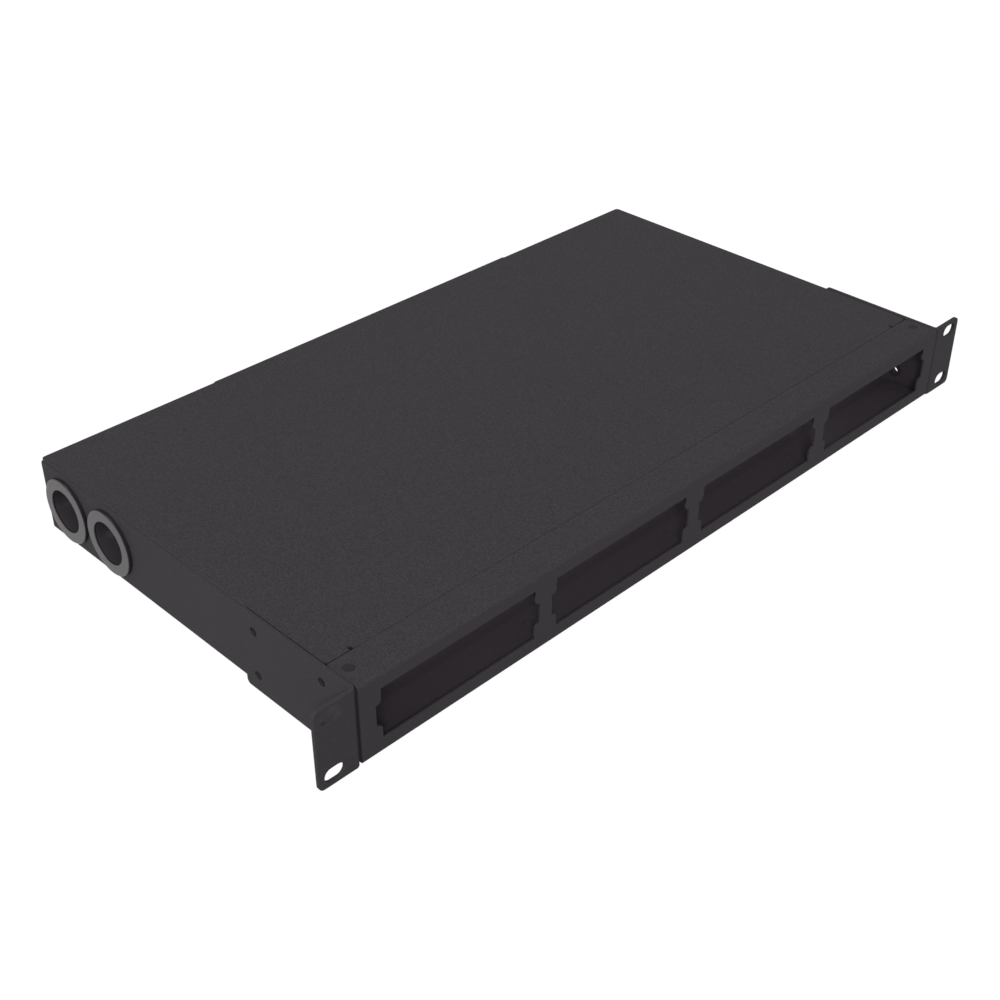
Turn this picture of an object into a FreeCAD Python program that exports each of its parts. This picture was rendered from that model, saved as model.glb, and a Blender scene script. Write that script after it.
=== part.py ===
# Rack-mounted fibre distribution panel, one unit high: a bent steel tray with a front
# frame of four cassette openings, a cover that hooks under the frame, two mounting
# brackets and two cable entries in the left wall.
#
# Millimetres. X is to the right seen from the front, Y to the rear and Z up. The origin is
# the centre of the rack slots on the ears' rear faces, which rest on the rack's rails.
# Sizes along Y are measured from the face of the front frame, and each body's Placement
# then moves it to the origin.
import FreeCAD, Part
import math
import os
import re
import Sketcher

doc = FreeCAD.newDocument("fibre_panel")
sheet = doc.addObject("Spreadsheet::Sheet", "Sizes")

SIZES = {
    # overall sizes and the rack interface
    "rack_width": 482.6,
    "slot_inset": 8.75,
    "slot_pitch_high": 31.75,
    "slot_edge": 5.875,
    "slot_length": 11.0,
    "slot_height": 7.3,
    # sheet metal
    "sheet": 1.2,
    "bracket_sheet": 2.0,
    "seat_gap": 0.05,
    "slide_gap": 0.1,
    "inner_bend": 0.3,
    "frame_inner_bend": 0.6,
    "bracket_inner_bend": 1.0,
    # front frame
    "ear_reach": 23.4,
    "frame_height": 42.9,
    "flange_depth": 20.4,
    "end_rail": 8.9,
    "middle_rail": 8.0,
    "opening_height": 27.5,
    "notch_depth": 3.15,
    "notch_height": 11.4,
    "notch_round": 2.8,
    # tray
    "tray_depth": 243.4,
    "tray_setback": 2.2,
    "floor_rise": 0.25,
    "side_flange": 13.5,
    "lip_front": 4.0,
    "lip_inset": 4.9,
    "joggle_gap": 0.5,
    "joggle_length": 4.0,
    "rear_lip_height": 11.0,
    "rear_lip_inset": 17.9,
    # rear panel
    "panel_inset": 1.7,
    "panel_flange": 11.5,
    "panel_flange_gap": 0.9,
    # cover
    "cover_inset": 0.4,
    "cover_gap": 0.7,
    "tab_gap": 0.2,
    "tab_front": 10.0,
    "relief_width": 2.1,
    "relief_depth": 2.3,
    "skirt_width": 221.0,
    "skirt_height": 14.0,
    "skirt_clearance": 0.45,
    "cover_front_round": 2.6,
    "cover_rear_round": 2.0,
    # mounting brackets
    "bracket_gap": 0.1,
    "ear_setback": 0.2,
    "ear_round": 3.0,
    "bracket_round": 2.5,
    "bracket_hole": 4.5,
    "bracket_hole_front": 21.5,
    "bracket_pitch_deep": 46.8,
    "bracket_hole_rear": 9.1,
    "bracket_pitch_high": 25.0,
    # press nuts behind the brackets
    "press_nut_width": 7.2,
    "press_nut_bore": 3.9,
    "press_nut_proud": 0.7,
    "press_fit": 0.02,
    # flush rivets
    "rivet_width": 5.4,
    "rivet_shank": 3.2,
    "rivet_head": 5.0,
    "rivet_head_height": 1.0,
    "frame_rivet_inset": 5.9,
    "frame_rivet_y": 12.5,
    "floor_rivet_inset": 12.9,
    "floor_rivet_y": 14.5,
    "rear_rivet_pitch": 88.0,
    "rear_rivet_rise": 6.2,
    # cover screws and their nuts
    "cover_screw": 3.0,
    "cover_screw_pitch": 90.0,
    "cover_screw_drop": 8.0,
    "cover_screw_head": 5.6,
    "cover_screw_head_height": 2.2,
    "cover_screw_length": 8.0,
    "cover_screw_clearance": 0.2,
    "thread_clearance": 0.05,
    "cover_nut_width": 7.0,
    "cover_nut_shank": 4.7,
    "cover_nut_height": 3.5,
    # cable entries
    "entry_margin": 1.4,
    "entry_spacing": 2.9,
    "entry_bore": 23.4,
    "entry_wall": 2.4,
    "entry_ring": 3.6,
    "entry_flange_height": 2.1,
    "entry_length": 14.0,
    "entry_clearance": 0.1,
    "entry_rim_round": 0.6,
    "entry_mouth_round": 0.8,
    "lock_nut_ring": 2.8,
    "lock_nut_height": 4.5,
    "lock_nut_notch": 4.0,
    "lock_nut_notch_depth": 1.6,
    # slack spools
    "spool_x": 80.0,
    "spool_rear": 71.4,
    "spool_width": 64.0,
    "spool_wall": 2.0,
    "spool_height": 28.0,
    "spool_tab_reach": 14.0,
    "spool_tab_width": 16.0,
    "spool_window": 12.0,
    "spool_window_ring": 19.5,
    "spool_boss": 14.0,
    "spool_boss_height": 8.0,
    "standoff_width": 7.0,
    "standoff_foot": 5.4,
    "standoff_height": 5.0,
    "standoff_thread_depth": 4.5,
    "spool_screw": 4.0,
    "spool_screw_head": 8.0,
    "spool_screw_head_height": 2.6,
    "spool_screw_grip": 3.5,
    # cable tie bridges
    "bridge_inset": 35.9,
    "bridge_length": 34.0,
    "bridge_top": 16.0,
    "bridge_width": 14.0,
    "bridge_rise": 6.2,
    # earthing stud
    "earth_inset": 77.9,
    "earth_rear": 21.4,
    "earth_stud": 6.0,
    "earth_foot": 5.2,
    "earth_height": 14.0,
    "earth_washer": 12.0,
    "earth_washer_height": 1.4,
    "earth_nut_flats": 10.0,
    "earth_nut_height": 5.0,
    "drive_width": 0.9,
    "drive_depth": 1.2,
}

for row, (alias, number) in enumerate(SIZES.items(), 1):
    sheet.set(f"A{row}", alias)
    sheet.set(f"B{row}", str(number))
    sheet.setAlias(f"B{row}", alias)
doc.recompute()

# How far a cut runs past the face that it leaves by, and the most of a wall that a round
# corner may take.
PAST = 1.0
MOST = 0.95
# How many times the ring nut's notch and the spool's tab and window are repeated.
NOTCHES = 8
SPOOL_ARMS = 4

# Places that follow from the sizes, as expressions of them.
half = "(rack_width / 2 - ear_reach)"
span = f"((2 * {half} - 2 * end_rail - 3 * middle_rail) / 4)"
rack_top = "(slot_pitch_high / 2 + slot_edge)"
frame_top = "frame_height / 2"
frame_bottom = "-frame_height / 2"
ceiling = f"({frame_top} - sheet)"
frame_floor = f"({frame_bottom} + sheet)"
flange_top = f"({ceiling} - seat_gap)"
flange_under = f"({flange_top} - sheet)"
floor_under = f"({frame_bottom} + floor_rise)"
floor_top = f"({floor_under} + sheet)"
floor_seat = f"({floor_top} + seat_gap)"
wall_inside = f"({half} - sheet)"
wall_bend = f"({wall_inside} - inner_bend)"
flange_edge = f"({half} - side_flange)"
lip_end = f"({half} - lip_inset)"
rear_lip_end = f"({half} - rear_lip_inset)"
lip_under = f"({frame_floor} + seat_gap)"
lip_top = f"({lip_under} + sheet)"
floor_front = "(flange_depth + joggle_gap)"
panel_front = "(tray_depth + seat_gap)"
panel_rear = f"({panel_front} + sheet)"
panel_top = f"({ceiling} - slide_gap)"
skirt_front = f"({panel_rear} + skirt_clearance)"
skirt_rear = f"({skirt_front} + sheet)"
ear_rear = "(ear_setback + bracket_sheet)"
bracket_inside = f"({half} + bracket_gap)"
bracket_outside = f"({bracket_inside} + bracket_sheet)"
bracket_end = "(bracket_hole_front + bracket_pitch_deep + bracket_hole_rear)"
entry_tube = "(entry_bore + 2 * entry_wall)"
entry_flange = f"({entry_tube} + 2 * entry_ring)"
entry_z = f"(({flange_top} + {floor_under}) / 2)"
cover_screw_z = f"({frame_top} - cover_screw_drop)"
rear_rivet_z = f"({floor_under} + rear_rivet_rise)"
spool_y = "(tray_depth - spool_rear)"
bridge_x = f"(bridge_inset - {half})"
earth_x = f"(earth_inset - {half})"
earth_y = "(tray_depth - earth_rear)"

PLANES = {"XY": "XY_Plane", "XZ": "XZ_Plane", "YZ": "YZ_Plane"}
parts = []


def value(text):
    """The number that an expression of the sizes gives now."""
    return float(sheet.evalExpression(str(text)))


def bound(text):
    """The same expression as another object's property reads it."""
    return re.sub(r"[a-z]\w*", lambda m: "Sizes." + m.group() if m.group() in SIZES else m.group(),
                  str(text))


def new_body(label):
    body = doc.addObject("PartDesign::Body", label)
    body.Label = label
    body.AllowCompound = True
    place(body, "0", "0", "0")
    parts.append(body)
    return body


def place(body, x, y, z):
    """Places a body's own zero, with Y counted from the frame's face."""
    for axis, text in zip("xyz", (x, f"({y}) - {ear_rear}", z)):
        body.setExpression(f"Placement.Base.{axis}", bound(text))


def through(low, high):
    """The two ends of a cut that runs past both faces of a wall."""
    return f"({low}) - {PAST}", f"({high}) + {PAST}"


def pin(sketch, geometry, point, across, up):
    """Holds a point of the sketch at two expressions, measured from the sketch's origin."""
    for kind, text in (("DistanceX", across), ("DistanceY", up)):
        index = sketch.addConstraint(
            Sketcher.Constraint(kind, -1, 1, geometry, point, value(text)))
        sketch.setExpression(f"Constraints[{index}]", bound(text))


def outline(*corners):
    """A closed run of straight lines through corners given as pairs of expressions."""
    def draw(sketch):
        points = [FreeCAD.Vector(value(a), value(b), 0) for a, b in corners]
        first = sketch.GeometryCount
        count = len(points)
        for k in range(count):
            sketch.addGeometry(Part.LineSegment(points[k], points[(k + 1) % count]))
        for k in range(count):
            following = first + (k + 1) % count
            sketch.addConstraint(Sketcher.Constraint("Coincident", first + k, 2, following, 1))
        for k, (a, b) in enumerate(corners):
            pin(sketch, first + k, 1, a, b)
    return draw


def rectangle(left, right, low, high):
    return outline((left, low), (right, low), (right, high), (left, high))


def disc(across, up, diameter):
    def draw(sketch):
        centre = FreeCAD.Vector(value(across), value(up), 0)
        circle = Part.Circle(centre, FreeCAD.Vector(0, 0, 1), value(diameter) / 2)
        index = sketch.addGeometry(circle)
        pin(sketch, index, 3, across, up)
        size = sketch.addConstraint(Sketcher.Constraint("Diameter", index, value(diameter)))
        sketch.setExpression(f"Constraints[{size}]", bound(diameter))
    return draw


def slot(across, up, length, height):
    """A slot that lies along the sketch's first axis, with round ends."""
    def draw(sketch):
        x, y = value(across), value(up)
        radius = value(height) / 2
        reach = value(length) / 2 - radius
        normal = FreeCAD.Vector(0, 0, 1)
        ends = []
        for side, start in ((1, -math.pi / 2), (-1, math.pi / 2)):
            circle = Part.Circle(FreeCAD.Vector(x + side * reach, y, 0), normal, radius)
            ends.append(sketch.addGeometry(Part.ArcOfCircle(circle, start, start + math.pi)))
        right, left = ends
        top = sketch.addGeometry(Part.LineSegment(
            FreeCAD.Vector(x + reach, y + radius, 0), FreeCAD.Vector(x - reach, y + radius, 0)))
        low = sketch.addGeometry(Part.LineSegment(
            FreeCAD.Vector(x - reach, y - radius, 0), FreeCAD.Vector(x + reach, y - radius, 0)))
        for one, end, two, start in ((right, 2, top, 1), (top, 2, left, 1),
                                     (left, 2, low, 1), (low, 2, right, 1)):
            sketch.addConstraint(Sketcher.Constraint("Tangent", one, end, two, start))
        sketch.addConstraint(Sketcher.Constraint("Equal", right, left))
        shift = f"(({length}) - ({height})) / 2"
        pin(sketch, right, 3, f"{across} + {shift}", up)
        index = sketch.addConstraint(
            Sketcher.Constraint("DistanceX", -1, 1, left, 3, value(f"{across} - {shift}")))
        sketch.setExpression(f"Constraints[{index}]", bound(f"{across} - {shift}"))
        index = sketch.addConstraint(Sketcher.Constraint("Radius", right, radius))
        sketch.setExpression(f"Constraints[{index}]", bound(f"({height}) / 2"))
    return draw


def new_sketch(body, plane, level, loops):
    """A sketch parallel to one of the body's own origin planes, at a level along its normal."""
    sketch = body.newObject("Sketcher::SketchObject", f"{body.Label}_{plane.lower()}_sketch")
    support = [f for f in body.Origin.OriginFeatures if f.Role == PLANES[plane]][0]
    sketch.AttachmentSupport = (support, [""])
    sketch.MapMode = "FlatFace"
    sign = "-1" if plane == "XZ" else "1"
    sketch.setExpression("AttachmentOffset.Base.z", bound(f"{sign} * ({level})"))
    for loop in loops:
        loop(sketch)
    return sketch


def pad(body, plane, start, end, *loops):
    """Adds material from start to end, which are places along the axis across the plane."""
    sketch = new_sketch(body, plane, start, loops)
    feature = body.newObject("PartDesign::Pad", f"{body.Label}_pad")
    feature.Profile = sketch
    feature.setExpression("Length", bound(f"({end}) - ({start})"))
    feature.Reversed = plane == "XZ"
    doc.recompute()
    return feature


def pocket(body, plane, start, end, *loops):
    """Removes material from start to end, and makes sure that it removed some."""
    before = body.Shape.Volume
    sketch = new_sketch(body, plane, start, loops)
    feature = body.newObject("PartDesign::Pocket", f"{body.Label}_pocket")
    feature.Profile = sketch
    feature.setExpression("Length", bound(f"({end}) - ({start})"))
    feature.Reversed = plane != "XZ"
    doc.recompute()
    if not body.Shape.Volume < before:
        raise ValueError(f"{body.Label}: a pocket removed nothing")
    return feature


def turn(body, *corners):
    """Turns an outline of (along, radius) pairs about the body's own Z axis."""
    sketch = new_sketch(body, "XZ", "0", [outline(*[(r, along) for along, r in corners])])
    feature = body.newObject("PartDesign::Revolution", f"{body.Label}_turned")
    feature.Profile = sketch
    feature.ReferenceAxis = (sketch, ["V_Axis"])
    feature.Angle = 360
    doc.recompute()
    return feature


def round_edges(body, radius, wanted):
    """Fillets the edges of the body's last feature that a test of two end points picks."""
    tip = body.Tip
    names = []
    for number, edge in enumerate(tip.Shape.Edges, 1):
        ends = [vertex.Point for vertex in edge.Vertexes]
        if wanted(edge, ends):
            names.append(f"Edge{number}")
    if not names:
        raise ValueError(f"{body.Label}: no edge to round")
    feature = body.newObject("PartDesign::Fillet", f"{body.Label}_fillet")
    feature.Base = (tip, names)
    feature.setExpression("Radius", bound(radius))
    doc.recompute()
    return feature


def straight(axis, *places):
    """Picks straight edges along one axis that pass through one of the places given.

    A place holds an expression for each of the other two axes, in X, Y, Z order.
    """
    others = [k for k in range(3) if k != "XYZ".index(axis)]
    spots = [[value(text) for text in texts] for texts in places]

    def wanted(edge, ends):
        if len(ends) != 2 or edge.Curve.TypeId != "Part::GeomLine":
            return False
        return any(all(abs(end[k] - at) < 0.01 for end in ends for k, at in zip(others, spot))
                   for spot in spots)
    return wanted


def circular(diameter, axis, *levels):
    """Picks whole circles of one diameter whose centres lie at one of the levels."""
    along = "XYZ".index(axis)
    radius = value(diameter) / 2
    heights = [value(level) for level in levels]

    def wanted(edge, ends):
        if len(ends) != 1 or edge.Curve.TypeId != "Part::GeomCircle":
            return False
        middle = edge.Curve.Center[along]
        return abs(edge.Curve.Radius - radius) < 0.001 and any(
            abs(middle - height) < 0.01 for height in heights)
    return wanted


# Places that several parts share.
opening_centres = [f"({k} * ({span} + middle_rail) / 2)" for k in (-3, -1, 1, 3)]
top_rivets = [f"({side} * ({half} - frame_rivet_inset))" for side in (-1, 1)]
floor_rivets = [f"({k} * ({half} - floor_rivet_inset) / 2)" for k in (-2, -1, 0, 1, 2)]
rear_rivets = [f"({k} * rear_rivet_pitch)" for k in (-2, -1, 0, 1, 2)]
cover_screws_x = [f"({k} * cover_screw_pitch)" for k in (-1, 0, 1)]
bracket_holes = [(f"(bracket_hole_front + {k} * bracket_pitch_deep)",
                  f"({side} * bracket_pitch_high / 2)")
                 for k in (0, 1) for side in (-1, 1)]
entry_last = f"(tray_depth - entry_margin - {entry_flange} / 2)"
entries = {"front": f"({entry_last} - {entry_flange} - entry_spacing)", "rear": entry_last}
spools = {"left": "(-spool_x)", "right": "(spool_x)"}
bridge_feet = [f"({bridge_x} + {side} * (bridge_length + bridge_top) / 4)" for side in (-1, 1)]


def front_frame():
    """C-shaped front with its flanges turned back above and below, and four openings."""
    body = new_body("front_frame")
    pad(body, "YZ", f"-{half}", half, outline(
        ("0", frame_bottom), ("flange_depth", frame_bottom), ("flange_depth", frame_floor),
        ("sheet", frame_floor), ("sheet", ceiling), ("flange_depth", ceiling),
        ("flange_depth", frame_top), ("0", frame_top)))
    round_edges(body, "sheet + frame_inner_bend",
                straight("X", ("0", frame_bottom), ("0", frame_top)))
    round_edges(body, "frame_inner_bend",
                straight("X", ("sheet", frame_floor), ("sheet", ceiling)))
    cuts = []
    tabs = []
    for centre in opening_centres:
        wide = [f"({centre} {sign} {span} / 2)" for sign in "-+"]
        main = [f"({centre} {sign} ({span} / 2 - notch_depth))" for sign in "-+"]
        high, low = "opening_height / 2", "-opening_height / 2"
        up, down = "notch_height / 2", "-notch_height / 2"
        cuts.append(outline(
            (main[0], low), (main[1], low), (main[1], down), (wide[1], down), (wide[1], up),
            (main[1], up), (main[1], high), (main[0], high), (main[0], up), (wide[0], up),
            (wide[0], down), (main[0], down)))
        tabs += [(x, z) for x in main for z in (up, down)]
    pocket(body, "XZ", *through("0", "sheet"), *cuts)
    round_edges(body, f"min(notch_round; notch_depth * {MOST})", straight("Y", *tabs))
    flush = "rivet_width + 2 * press_fit"
    pocket(body, "XY", *through(ceiling, frame_top),
           *[disc(x, "frame_rivet_y", flush) for x in top_rivets])
    pocket(body, "XY", *through(frame_bottom, frame_floor),
           *[disc(x, "floor_rivet_y", flush) for x in floor_rivets])


def base_tray():
    """Floor, side walls and their top flanges, with a lip at the front and one at the rear."""
    body = new_body("base_tray")
    pad(body, "XZ", "tray_setback", panel_rear, outline(
        (f"-{flange_edge}", flange_top), (f"-{half}", flange_top), (f"-{half}", floor_under),
        (half, floor_under), (half, flange_top), (flange_edge, flange_top),
        (flange_edge, flange_under), (wall_inside, flange_under), (wall_inside, floor_top),
        (f"-{wall_inside}", floor_top), (f"-{wall_inside}", flange_under),
        (f"-{flange_edge}", flange_under)))
    round_edges(body, "sheet + inner_bend", straight("Y", *[
        (f"{side} * {half}", z) for side in (-1, 1) for z in (flange_top, floor_under)]))
    round_edges(body, "inner_bend", straight("Y", *[
        (f"{side} * {wall_inside}", z) for side in (-1, 1) for z in (flange_under, floor_top)]))
    # Only the walls, with their bends, run on past the floor to cover the rear panel's ends.
    pocket(body, "XZ", "tray_depth", f"{panel_rear} + {PAST}", rectangle(
        f"-{wall_bend}", wall_bend, f"{floor_under} - {PAST}", f"{flange_top} + {PAST}"))
    # The front of the floor makes room for the frame's lower flange.
    pocket(body, "XY", f"{floor_under} - {PAST}", lip_under, rectangle(
        f"-{half} - {PAST}", f"{half} + {PAST}", f"tray_setback - {PAST}", floor_front))
    pocket(body, "XY", f"{floor_under} - {PAST}", f"{floor_top} + inner_bend", rectangle(
        f"-{wall_inside}", wall_inside, f"tray_setback - {PAST}", floor_front))
    # The lip steps up over that flange.
    pad(body, "YZ", f"-{lip_end}", lip_end, outline(
        ("lip_front", lip_under), (floor_front, lip_under), (floor_front, floor_under),
        (f"{floor_front} + joggle_length", floor_under),
        (f"{floor_front} + joggle_length", floor_top),
        (f"{floor_front} + sheet", lip_top), ("lip_front", lip_top)))
    # The rear lip stands up behind the floor and carries the rear panel.
    pad(body, "XY", floor_under, f"{floor_under} + rear_lip_height",
        rectangle(f"-{rear_lip_end}", rear_lip_end, "tray_depth - sheet", "tray_depth"))
    left_wall = through(f"-{half}", f"-{wall_inside}")
    pocket(body, "YZ", *left_wall,
           *[disc(y, entry_z, f"{entry_tube} + 2 * entry_clearance") for y in entries.values()])
    for wall in (left_wall, through(wall_inside, half)):
        pocket(body, "YZ", *wall,
               *[disc(y, z, "press_nut_width + 2 * press_fit") for y, z in bracket_holes])
    shank = "rivet_shank + 2 * press_fit"
    flush = "rivet_width + 2 * press_fit"
    pocket(body, "XY", *through(flange_under, flange_top),
           *[disc(x, "frame_rivet_y", shank) for x in top_rivets])
    pocket(body, "XY", *through(lip_under, lip_top),
           *[disc(x, "floor_rivet_y", shank) for x in floor_rivets])
    pocket(body, "XZ", *through("tray_depth - sheet", "tray_depth"),
           *[disc(x, rear_rivet_z, shank) for x in rear_rivets])
    pocket(body, "XY", *through(floor_under, floor_top),
           *[disc(x, y, flush) for x in bridge_feet for y in entries.values()],
           *[disc(x, spool_y, "standoff_foot + 2 * press_fit") for x in spools.values()],
           disc(earth_x, earth_y, "earth_foot + 2 * press_fit"))


def rear_panel():
    """Rear wall, outside the tray's rear lip, with a stiffening flange under the cover."""
    body = new_body("rear_panel")
    pad(body, "XZ", panel_front, panel_rear,
        rectangle(f"-{half} + panel_inset", f"{half} - panel_inset", floor_under, panel_top))
    pad(body, "XY", f"{panel_top} - sheet", panel_top, rectangle(
        f"-{flange_edge} + panel_flange_gap", f"{flange_edge} - panel_flange_gap",
        f"{panel_rear} - panel_flange", panel_rear))
    round_edges(body, "inner_bend", straight("X", (panel_front, f"{panel_top} - sheet")))
    flush = "rivet_width + 2 * press_fit"
    pocket(body, "XZ", *through(panel_front, panel_rear),
           *[disc(x, rear_rivet_z, flush) for x in rear_rivets],
           *[disc(x, cover_screw_z, "cover_nut_shank + 2 * press_fit") for x in cover_screws_x])


def top_cover():
    """Flat cover with a stepped tab under the frame's flange and a skirt behind the panel."""
    body = new_body("top_cover")
    side = f"({half} - cover_inset)"
    slit_out = flange_edge
    slit_in = f"({flange_edge} - relief_width)"
    corner = "flange_depth + cover_gap"
    edge = "flange_depth + tab_gap"
    slit_end = "flange_depth + tab_gap + relief_depth"
    skirt = "(skirt_width / 2)"
    right = [(slit_in, edge), (slit_in, slit_end), (slit_out, slit_end), (slit_out, corner),
             (side, corner), (side, panel_rear), (skirt, panel_rear), (skirt, skirt_rear)]
    left = [(f"-{x}", y) for x, y in reversed(right)]
    pad(body, "XY", ceiling, frame_top, outline(*right, *left))
    pad(body, "XY", f"{frame_top} - skirt_height", frame_top,
        rectangle(f"-{skirt}", skirt, skirt_front, skirt_rear))
    pad(body, "YZ", f"-{slit_in}", slit_in, outline(
        ("tab_front", f"{panel_top} - sheet"), (f"{edge} + sheet", f"{panel_top} - sheet"),
        (f"{edge} + sheet + slide_gap", ceiling), (edge, ceiling),
        (f"{edge} - slide_gap", panel_top), ("tab_front", panel_top)))
    round_edges(body, "cover_front_round", straight(
        "Z", *[(f"{sign} * {side}", corner) for sign in (-1, 1)]))
    round_edges(body, "cover_rear_round", straight(
        "Z", *[(f"{sign} * {side}", panel_rear) for sign in (-1, 1)]))
    round_edges(body, "inner_bend", straight("X", (skirt_front, ceiling)))
    round_edges(body, "sheet + inner_bend", straight("X", (skirt_rear, frame_top)))
    pocket(body, "XZ", *through(skirt_front, skirt_rear),
           *[disc(x, cover_screw_z, "cover_screw + 2 * cover_screw_clearance")
             for x in cover_screws_x])


def rack_bracket(name, side):
    """Bent bracket: an ear with the rack slots and a side plate along the tray."""
    body = new_body(f"rack_bracket_{name}")
    inside, outside = f"{side} * {bracket_inside}", f"{side} * {bracket_outside}"
    tip = f"{side} * rack_width / 2"
    pad(body, "XY", f"-{rack_top}", rack_top, outline(
        (inside, "ear_setback"), (inside, bracket_end), (outside, bracket_end),
        (outside, ear_rear), (tip, ear_rear), (tip, "ear_setback")))
    round_edges(body, "bracket_sheet + bracket_inner_bend", straight("Z", (inside, "ear_setback")))
    round_edges(body, "bracket_inner_bend", straight("Z", (outside, ear_rear)))
    ends = [rack_top, f"-{rack_top}"]
    round_edges(body, "ear_round", straight("Y", *[(tip, z) for z in ends]))
    round_edges(body, "bracket_round", straight("X", *[(bracket_end, z) for z in ends]))
    pocket(body, "XZ", *through("ear_setback", ear_rear),
           *[slot(f"{side} * (rack_width / 2 - slot_inset)", f"{up} * slot_pitch_high / 2",
                  "slot_length", "slot_height") for up in (-1, 1)])
    low, high = (inside, outside) if side > 0 else (outside, inside)
    pocket(body, "YZ", *through(low, high), *[disc(y, z, "bracket_hole") for y, z in bracket_holes])


def bracket_nuts(name, side):
    """Press nuts in the tray's side wall, behind the bracket's holes."""
    body = new_body(f"bracket_nuts_{name}")
    outer = f"{side} * {half}"
    inner = f"{side} * ({wall_inside} - press_nut_proud)"
    low, high = (inner, outer) if side > 0 else (outer, inner)
    rings = []
    for y, z in bracket_holes:
        rings += [disc(y, z, "press_nut_width"), disc(y, z, "press_nut_bore")]
    pad(body, "YZ", low, high, *rings)


def rivets(body, plane, places, flush_at, seat_at, head_at, out):
    """Rivets with a flush outer disc, a shank through the inner sheet and a formed head.

    flush_at, seat_at and head_at are the levels of the outer face, of the joint between
    the sheets and of the inner sheet's free face. out is 1 where the outer face looks
    along the axis and -1 where it looks against it.
    """
    tip = f"{head_at} - {out} * rivet_head_height"
    stages = ((seat_at, flush_at, "rivet_width"), (head_at, seat_at, "rivet_shank"),
              (tip, head_at, "rivet_head"))
    for start, end, size in stages:
        low, high = (start, end) if out > 0 else (end, start)
        pad(body, plane, low, high, *[disc(a, b, size) for a, b in places])


def front_frame_rivets():
    """Two rivets on top and a row below hold the frame to the tray."""
    body = new_body("front_frame_rivets")
    rivets(body, "XY", [(x, "frame_rivet_y") for x in top_rivets],
           frame_top, ceiling, flange_under, 1)
    rivets(body, "XY", [(x, "floor_rivet_y") for x in floor_rivets],
           frame_bottom, frame_floor, lip_top, -1)


def rear_panel_rivets():
    body = new_body("rear_panel_rivets")
    rivets(body, "XZ", [(x, rear_rivet_z) for x in rear_rivets],
           panel_rear, panel_front, "(tray_depth - sheet)", 1)


def cover_screws():
    """Pan-head screws through the skirt into the rear panel's nuts."""
    body = new_body("cover_screws")
    spots = [(x, cover_screw_z) for x in cover_screws_x]
    head_end = f"{skirt_rear} + cover_screw_head_height"
    pad(body, "XZ", f"{skirt_rear} - cover_screw_length", skirt_rear,
        *[disc(x, z, "cover_screw") for x, z in spots])
    pad(body, "XZ", skirt_rear, head_end, *[disc(x, z, "cover_screw_head") for x, z in spots])
    round_edges(body, "cover_screw_head_height / 2", circular("cover_screw_head", "Y", head_end))
    cross_drive(body, "XZ", f"{head_end} - drive_depth", head_end, spots, "cover_screw")


def cross_drive(body, plane, start, end, spots, reach):
    """Cross recess in each head: two crossed slots as long as the given reach."""
    for wide, high in ((reach, "drive_width"), ("drive_width", reach)):
        pocket(body, plane, start, f"{end} + {PAST}",
               *[rectangle(f"{a} - {wide} / 2", f"{a} + {wide} / 2",
                           f"{b} - {high} / 2", f"{b} + {high} / 2") for a, b in spots])


def cover_nuts():
    """Press nuts in the rear panel that take the cover screws."""
    body = new_body("cover_nuts")
    spots = [(x, cover_screw_z) for x in cover_screws_x]
    bore = "cover_screw + 2 * thread_clearance"
    back = f"({panel_front} - cover_nut_height)"
    pad(body, "XZ", panel_front, f"{panel_rear} - seat_gap",
        *[disc(x, z, "cover_nut_shank") for x, z in spots])
    pad(body, "XZ", back, panel_front, *[disc(x, z, "cover_nut_width") for x, z in spots])
    pocket(body, "XZ", *through(back, panel_rear), *[disc(x, z, bore) for x, z in spots])


def cable_bushing(name, y):
    """Flanged tube through the left wall. It is turned about its own axis, flange down."""
    body = new_body(f"cable_bushing_{name}")
    flange, tube, bore = f"{entry_flange} / 2", f"{entry_tube} / 2", "entry_bore / 2"
    face, end = "-entry_flange_height", "entry_length - entry_flange_height"
    turn(body, (face, bore), (face, flange), ("0", flange), ("0", tube), (end, tube), (end, bore))
    round_edges(body, "entry_rim_round", circular(entry_flange, "Z", face))
    round_edges(body, "entry_mouth_round", circular("entry_bore", "Z", face))
    body.Placement.Rotation = FreeCAD.Rotation(FreeCAD.Vector(0, 1, 0), 90)
    place(body, f"-{half} - seat_gap", y, entry_z)


def bushing_nut(name, y):
    """Ring nut that holds the bushing from inside, with notches for a spanner."""
    body = new_body(f"bushing_nut_{name}")
    outer = f"({entry_tube} / 2 + lock_nut_ring)"
    inner = f"({entry_tube} / 2 + thread_clearance)"
    turn(body, ("0", inner), ("0", outer), ("lock_nut_height", outer), ("lock_nut_height", inner))
    slit = "lock_nut_notch / 2"
    cut = pocket(body, "XY", *through("0", "lock_nut_height"), rectangle(
        f"{outer} - lock_nut_notch_depth", f"{outer} + {PAST}", f"-{slit}", slit))
    repeat(body, cut, NOTCHES)
    body.Placement.Rotation = FreeCAD.Rotation(FreeCAD.Vector(0, 1, 0), 90)
    place(body, f"-{wall_inside} + seat_gap", y, entry_z)


def repeat(body, feature, count):
    """Repeats a feature evenly about the normal of its own sketch."""
    pattern = body.newObject("PartDesign::PolarPattern", f"{feature.Label}_pattern")
    pattern.Originals = [feature]
    pattern.Axis = (feature.Profile[0], ["N_Axis"])
    pattern.Angle = 360
    pattern.Occurrences = count
    body.Tip = pattern
    doc.recompute()


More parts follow.
